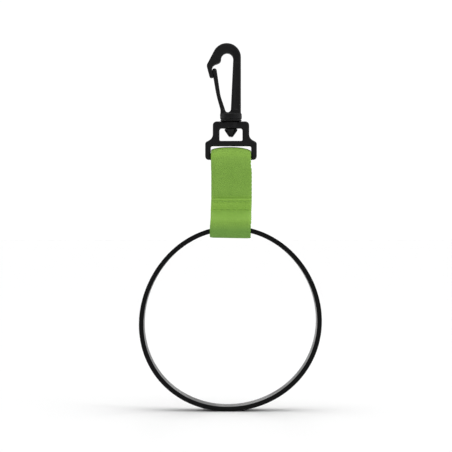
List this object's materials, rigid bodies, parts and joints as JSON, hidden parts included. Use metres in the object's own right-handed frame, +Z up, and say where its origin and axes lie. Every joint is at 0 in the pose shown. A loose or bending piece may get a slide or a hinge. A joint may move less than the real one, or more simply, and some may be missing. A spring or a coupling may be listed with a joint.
{
  "type": "clicker wrist strap",
  "caption": "Snap hook with a sprung gate on a swivel, a sewn loop of flat webbing, and a round rubber wrist band that runs through it.",
  "frame": {"origin": "centre of the round inside the hook's crown, where the strap hangs", "axes": "+Z up the strap towards the hook's crown, +X to the side of the spine, +Y through the crown towards the back"},
  "size_m": [0.0674, 0.0148, 0.1345],
  "materials": {
    "hook_plastic": "black acetal, satin from the mould",
    "frame_plastic": "black acetal, satin from the mould",
    "webbing": "lime green woven polyester webbing",
    "thread": "matching polyester sewing thread",
    "band_rubber": "black silicone rubber, smooth"
  },
  "bodies": {
    "hook": {"hook_body": "hook_plastic", "swivel_stud": "hook_plastic"},
    "gate": {"gate": "hook_plastic"},
    "frame": {"swivel_frame": "frame_plastic"},
    "strap": {"strap_upper_loop": "webbing", "needle_thread": "thread", "bobbin_thread": "thread"},
    "strap_loop": {"strap_lower_loop": "webbing"},
    "band": {"wrist_band": "band_rubber"}
  },
  "joints": [
    {"name": "gate_flex", "type": "hinge", "parent": "hook", "child": "gate", "pos_m": [-0.0016, 0, -0.01865], "axis": [0, 1, 0], "range_deg": [0, 16], "stiffness_Nm_per_rad": 0.27},
    {"name": "hook_swivel", "type": "hinge", "parent": "hook", "child": "frame", "pos_m": [0.0014, 0, -0.024], "axis": [0, 0, 1], "continuous": true},
    {"name": "strap_swing", "type": "hinge", "parent": "frame", "child": "strap", "pos_m": [0.0014, 0, -0.0356], "axis": [1, 0, 0], "range_deg": [-90, 90]},
    {"name": "loop_bend", "type": "hinge", "parent": "strap", "child": "strap_loop", "pos_m": [0.0014, 0, -0.0567], "axis": [1, 0, 0], "range_deg": [-30, 30]},
    {"name": "band_slide", "type": "hinge", "parent": "strap_loop", "child": "band", "pos_m": [0.0014, 0, -0.09475], "axis": [0, 1, 0], "continuous": true}
  ]
}
